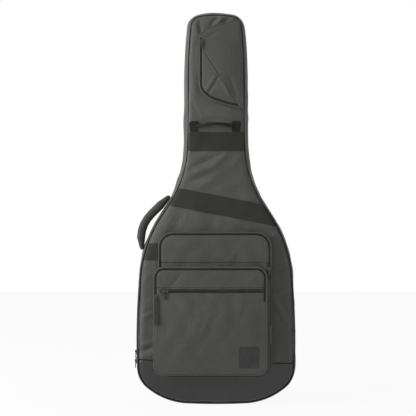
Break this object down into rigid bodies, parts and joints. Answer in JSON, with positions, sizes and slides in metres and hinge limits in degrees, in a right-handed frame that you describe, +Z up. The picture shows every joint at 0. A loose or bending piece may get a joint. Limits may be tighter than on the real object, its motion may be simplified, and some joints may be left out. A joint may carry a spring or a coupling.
{
  "type": "padded gig bag",
  "caption": "Upright padded soft case for an electric guitar, with zipped front pockets, a side carrying handle, a neck loop and shoulder straps.",
  "frame": {"origin": "centre of the flat base on the floor, on the main zipper's parting plane", "axes": "+Z up the bag from base to headstock, -Y out of the pocketed front, +X to the viewer's right"},
  "size_m": [0.4353, 0.197, 1.0497],
  "materials": {
    "shell_fabric": "woven nylon with a soft sheen",
    "leatherette": "smooth, half glossy",
    "webbing": "ribbed webbing",
    "piping": "satin vinyl",
    "zipper": "matte",
    "slider_metal": "black enamel",
    "puller_rubber": "matte",
    "foam": "foam sheet",
    "lining": "brushed lining",
    "handle_braid": "ribbed padded sleeve",
    "buckle": "satin",
    "label": "matte"
  },
  "bodies": {
    "shell": {"back_panel": "shell_fabric", "back_boot": "leatherette", "back_padding": "foam", "back_lining": "lining", "back_gusset_lower": "shell_fabric", "back_gusset_upper": "shell_fabric", "back_piping": "piping", "main_zip_back": "zipper", "hinge_web_back": "shell_fabric", "neck_cradle": "foam", "end_bumper": "foam", "strap_yoke": "webbing", "strap_pad_left": "shell_fabric", "strap_pad_right": "shell_fabric", "strap_web_left": "webbing", "strap_web_right": "webbing", "strap_buckle_left": "buckle", "strap_buckle_right": "buckle"},
    "lid": {"front_panel": "shell_fabric", "front_boot": "leatherette", "front_padding": "foam", "front_lining": "lining", "front_gusset_lower": "shell_fabric", "front_gusset_upper": "shell_fabric", "front_piping": "piping", "main_zip_front": "zipper", "hinge_web_front": "shell_fabric", "neck_band": "webbing", "cross_band": "webbing", "handle_band": "webbing", "grab_tabs": "webbing", "pocket_a_wall": "shell_fabric", "pocket_a_zip": "zipper", "pocket_a_panel": "shell_fabric", "pocket_b_wall": "shell_fabric", "pocket_b_zip": "zipper", "pocket_b_panel": "shell_fabric", "pocket_c_zip": "zipper", "head_pocket_wall": "shell_fabric", "head_pocket_zip": "zipper", "head_pocket_panel": "shell_fabric", "badge_patch": "label", "side_tab": "label"},
    "side_handle": {"side_handle": "handle_braid"},
    "grab_handle": {"grab_handle": "webbing"},
    "flap_a": {"pocket_a_flap": "shell_fabric"},
    "flap_b": {"pocket_b_flap": "shell_fabric"},
    "flap_head": {"head_pocket_flap": "shell_fabric"},
    "main_slider_upper_body": {"main_slider_upper": "slider_metal"},
    "main_puller_upper_body": {"main_puller_upper": "puller_rubber"},
    "main_slider_lower_body": {"main_slider_lower": "slider_metal"},
    "main_puller_lower_body": {"main_puller_lower": "puller_rubber"},
    "slider_a_body": {"slider_a": "slider_metal"},
    "puller_a_body": {"puller_a": "puller_rubber"},
    "slider_b_body": {"slider_b": "slider_metal"},
    "puller_b_body": {"puller_b": "puller_rubber"},
    "slider_c_body": {"slider_c": "slider_metal"},
    "puller_c_body": {"puller_c": "puller_rubber"},
    "slider_head_body": {"slider_head": "slider_metal"},
    "puller_head_body": {"puller_head": "puller_rubber"}
  },
  "joints": [
    {"name": "lid_swing", "type": "hinge", "parent": "shell", "child": "lid", "pos_m": [0.21477, 0, 0.105], "axis": [-0.0217, 0, 0.9998], "range_deg": [0, 170]},
    {"name": "side_handle_swing", "type": "hinge", "parent": "lid", "child": "side_handle", "pos_m": [-0.1245, -0.029, 0.5558], "axis": [0.4524, 0, 0.8918], "range_deg": [-15, 35]},
    {"name": "grab_handle_swing", "type": "hinge", "parent": "lid", "child": "grab_handle", "pos_m": [-0.003, -0.0556, 0.741], "axis": [-1, 0, 0], "range_deg": [0, 40]},
    {"name": "flap_a_fold", "type": "hinge", "parent": "lid", "child": "flap_a", "pos_m": [-0.0032, -0.074, 0.378], "axis": [1, 0, 0], "range_deg": [0, 95]},
    {"name": "flap_b_fold", "type": "hinge", "parent": "lid", "child": "flap_b", "pos_m": [-0.0153, -0.096, 0.314], "axis": [1, 0, 0], "range_deg": [0, 95]},
    {"name": "flap_head_fold", "type": "hinge", "parent": "lid", "child": "flap_head", "pos_m": [-0.0385, -0.062, 0.949], "axis": [-0.5356, 0, 0.8445], "range_deg": [0, 40]},
    {"name": "main_slider_upper_run", "type": "slide", "parent": "shell", "child": "main_slider_upper_body", "axis": [0.0217, 0, 0.9998], "range_m": [0, 0.165]},
    {"name": "main_puller_upper_flip", "type": "hinge", "parent": "main_slider_upper_body", "child": "main_puller_upper_body", "pos_m": [-0.21762, 0, 0.13508], "axis": [0, 1, 0], "range_deg": [0, 95]},
    {"name": "main_slider_lower_run", "type": "slide", "parent": "shell", "child": "main_slider_lower_body", "axis": [0.0217, 0, 0.9998], "range_m": [-0.005, 0]},
    {"name": "main_puller_lower_flip", "type": "hinge", "parent": "main_slider_lower_body", "child": "main_puller_lower_body", "pos_m": [-0.21816, 0, 0.11008], "axis": [0, 1, 0], "range_deg": [0, 95]},
    {"name": "slider_a_run", "type": "slide", "parent": "lid", "child": "slider_a_body", "axis": [0, 0, 1], "range_m": [0, 0.04]},
    {"name": "puller_a_flip", "type": "hinge", "parent": "slider_a_body", "child": "puller_a_body", "pos_m": [0.1395, -0.0779, 0.359], "axis": [-1, 0, 0], "range_deg": [0, 95]},
    {"name": "slider_b_run", "type": "slide", "parent": "lid", "child": "slider_b_body", "axis": [0, 0, 1], "range_m": [0, 0.04]},
    {"name": "puller_b_flip", "type": "hinge", "parent": "slider_b_body", "child": "puller_b_body", "pos_m": [-0.1575, -0.0999, 0.289], "axis": [-1, 0, 0], "range_deg": [0, 95]},
    {"name": "slider_c_run", "type": "slide", "parent": "lid", "child": "slider_c_body", "axis": [1, 0, 0], "range_m": [0, 0.24]},
    {"name": "puller_c_flip", "type": "hinge", "parent": "slider_c_body", "child": "puller_c_body", "pos_m": [-0.134, -0.0999, 0.3055], "axis": [-1, 0, 0], "range_deg": [0, 95]},
    {"name": "slider_head_run", "type": "slide", "parent": "lid", "child": "slider_head_body", "axis": [0, 0, -1], "range_m": [0, 0.1]},
    {"name": "puller_head_flip", "type": "hinge", "parent": "slider_head_body", "child": "puller_head_body", "pos_m": [-0.0385, -0.0659, 0.963], "axis": [-1, 0, 0], "range_deg": [0, 95]}
  ]
}
